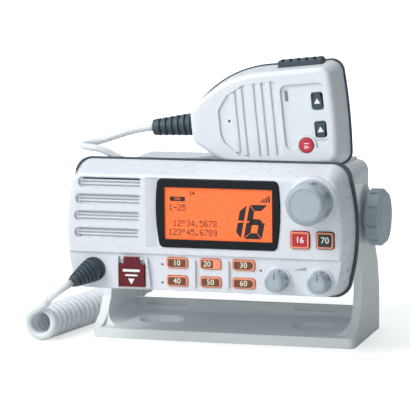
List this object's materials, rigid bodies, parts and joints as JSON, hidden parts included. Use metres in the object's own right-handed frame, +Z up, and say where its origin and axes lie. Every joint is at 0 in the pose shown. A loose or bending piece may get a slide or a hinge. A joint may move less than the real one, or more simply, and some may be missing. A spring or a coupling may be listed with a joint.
{
  "type": "marine vhf radio",
  "caption": "Fixed-mount marine VHF radio in a tilting trunnion bracket, with a fist microphone on a curly cord resting on its case.",
  "frame": {"origin": "middle of the bracket's underside, centre of its two screw holes", "axes": "+Z up, +X to the viewer's right, -Y towards the viewer from the front panel"},
  "size_m": [0.2133, 0.1933, 0.1724],
  "materials": {
    "shell_white": "satin white polycarbonate",
    "sink_metal": "white powder coat on die-cast aluminium",
    "knob_grey": "satin light blue-grey",
    "slate_rubber": "moulded dark slate rubber",
    "bezel_black": "polished black",
    "window_orange": "lit amber display",
    "key_amber": "translucent amber rubber",
    "key_red": "red rubber",
    "key_dark": "dark rubber",
    "mic_key_teal": "dark teal rubber",
    "cover_red": "translucent dark red",
    "lamp_lens": "clear lens",
    "steel": "stainless",
    "nickel": "nickel plate",
    "board_green": "fibreglass board",
    "component_grey": "moulded component",
    "cord_white": "white jacket"
  },
  "bodies": {
    "bracket": {"bracket": "shell_white", "arm_washers": "slate_rubber"},
    "radio": {"front_panel": "shell_white", "display_bezel": "bezel_black", "display_window": "window_orange", "display_module": "component_grey", "keypad_mat": "slate_rubber", "distress_hinge_pin": "steel", "channel_encoder": "component_grey", "knob_controls": "component_grey", "front_board": "board_green", "speaker_frame": "steel", "speaker_cone": "component_grey", "speaker_magnet": "steel", "panel_gasket": "slate_rubber", "rear_case": "shell_white", "case_washers": "slate_rubber", "case_screws": "steel", "heat_sink": "sink_metal", "antenna_socket": "nickel", "power_gland": "slate_rubber", "main_board": "board_green", "power_amplifier": "component_grey", "front_strain_relief": "slate_rubber", "cord_front_tail": "cord_white", "cord_curl": "cord_white"},
    "clamp_right": {"clamp_knob_right": "knob_grey", "clamp_stud_right": "steel"},
    "clamp_left": {"clamp_knob_left": "knob_grey", "clamp_stud_left": "steel"},
    "channel_control": {"channel_knob": "knob_grey", "channel_shaft": "steel"},
    "volume_turner": {"volume_knob": "knob_grey", "volume_shaft": "steel"},
    "squelch_turner": {"squelch_knob": "knob_grey", "squelch_shaft": "steel"},
    "key_1_1_body": {"key_1_1": "key_amber"},
    "key_1_2_body": {"key_1_2": "key_amber"},
    "key_1_3_body": {"key_1_3": "key_amber"},
    "key_2_1_body": {"key_2_1": "key_amber"},
    "key_2_2_body": {"key_2_2": "key_amber"},
    "key_2_3_body": {"key_2_3": "key_amber"},
    "call_key_body": {"call_key_red": "key_red"},
    "dark_key_body": {"key_dark": "key_dark"},
    "distress_lid": {"distress_cover": "cover_red"},
    "distress_push": {"distress_button": "key_red"},
    "microphone": {"mic_front_shell": "shell_white", "mic_seam_gasket": "slate_rubber", "mic_back_shell": "shell_white", "mic_screws": "steel", "mic_lamp": "lamp_lens", "mic_board": "board_green", "mic_capsule": "component_grey", "mic_hanger": "knob_grey", "mic_strain_relief": "slate_rubber", "cord_mic_tail": "cord_white"},
    "talk_bar": {"push_to_talk_bar": "slate_rubber"},
    "mic_up": {"mic_up_key": "mic_key_teal"},
    "mic_down": {"mic_down_key": "mic_key_teal"},
    "mic_round": {"mic_round_key": "key_red"}
  },
  "joints": [
    {"name": "radio_tilt", "type": "hinge", "parent": "bracket", "child": "radio", "pos_m": [0, -0.005, 0.075], "axis": [1, 0, 0], "range_deg": [-12, 12]},
    {"name": "clamp_right_turn", "type": "hinge", "parent": "radio", "child": "clamp_right", "pos_m": [0, -0.005, 0.075], "axis": [1, 0, 0], "range_deg": [-360, 360]},
    {"name": "clamp_left_turn", "type": "hinge", "parent": "radio", "child": "clamp_left", "pos_m": [0, -0.005, 0.075], "axis": [1, 0, 0], "range_deg": [-360, 360]},
    {"name": "channel_turn", "type": "hinge", "parent": "radio", "child": "channel_control", "pos_m": [0.066, -0.08, 0.0927], "axis": [0, -1, 0], "continuous": true},
    {"name": "volume_turn", "type": "hinge", "parent": "radio", "child": "volume_turner", "pos_m": [0.0452, -0.08, 0.0462], "axis": [0, -1, 0], "range_deg": [-140, 140]},
    {"name": "squelch_turn", "type": "hinge", "parent": "radio", "child": "squelch_turner", "pos_m": [0.0704, -0.08, 0.0462], "axis": [0, -1, 0], "range_deg": [-140, 140]},
    {"name": "key_1_1_press", "type": "slide", "parent": "radio", "child": "key_1_1_body", "axis": [0, 1, 0], "range_m": [0, 0.0006], "stiffness_N_per_m": 600, "springref_m": -0.0005},
    {"name": "key_1_2_press", "type": "slide", "parent": "radio", "child": "key_1_2_body", "axis": [0, 1, 0], "range_m": [0, 0.0006], "stiffness_N_per_m": 600, "springref_m": -0.0005},
    {"name": "key_1_3_press", "type": "slide", "parent": "radio", "child": "key_1_3_body", "axis": [0, 1, 0], "range_m": [0, 0.0006], "stiffness_N_per_m": 600, "springref_m": -0.0005},
    {"name": "key_2_1_press", "type": "slide", "parent": "radio", "child": "key_2_1_body", "axis": [0, 1, 0], "range_m": [0, 0.0006], "stiffness_N_per_m": 600, "springref_m": -0.0005},
    {"name": "key_2_2_press", "type": "slide", "parent": "radio", "child": "key_2_2_body", "axis": [0, 1, 0], "range_m": [0, 0.0006], "stiffness_N_per_m": 600, "springref_m": -0.0005},
    {"name": "key_2_3_press", "type": "slide", "parent": "radio", "child": "key_2_3_body", "axis": [0, 1, 0], "range_m": [0, 0.0006], "stiffness_N_per_m": 600, "springref_m": -0.0005},
    {"name": "call_key_press", "type": "slide", "parent": "radio", "child": "call_key_body", "axis": [0, 1, 0], "range_m": [0, 0.0006], "stiffness_N_per_m": 600, "springref_m": -0.0005},
    {"name": "dark_key_press", "type": "slide", "parent": "radio", "child": "dark_key_body", "axis": [0, 1, 0], "range_m": [0, 0.0006], "stiffness_N_per_m": 600, "springref_m": -0.0005},
    {"name": "distress_cover_lift", "type": "hinge", "parent": "radio", "child": "distress_lid", "pos_m": [-0.043, -0.0726, 0.0557], "axis": [-1, 0, 0], "range_deg": [0, 100], "stiffness_Nm_per_rad": 0.003, "springref_deg": -17.19},
    {"name": "distress_press", "type": "slide", "parent": "radio", "child": "distress_push", "axis": [0, 1, 0], "range_m": [0, 0.0009], "stiffness_N_per_m": 600, "springref_m": -0.0005},
    {"name": "microphone_lift", "type": "slide", "parent": "radio", "child": "microphone", "axis": [0, 0, 1], "range_m": [0, 0.12]},
    {"name": "talk_press", "type": "slide", "parent": "microphone", "child": "talk_bar", "axis": [0.0976, 0, -0.9952], "range_m": [0, 0.0015], "stiffness_N_per_m": 600, "springref_m": -0.0008},
    {"name": "mic_up_press", "type": "slide", "parent": "microphone", "child": "mic_up", "axis": [0, 1, 0], "range_m": [0, 0.0006], "stiffness_N_per_m": 600, "springref_m": -0.0005},
    {"name": "mic_down_press", "type": "slide", "parent": "microphone", "child": "mic_down", "axis": [0, 1, 0], "range_m": [0, 0.0006], "stiffness_N_per_m": 600, "springref_m": -0.0005},
    {"name": "mic_round_press", "type": "slide", "parent": "microphone", "child": "mic_round", "axis": [0, 1, 0], "range_m": [0, 0.0006], "stiffness_N_per_m": 600, "springref_m": -0.0005}
  ]
}
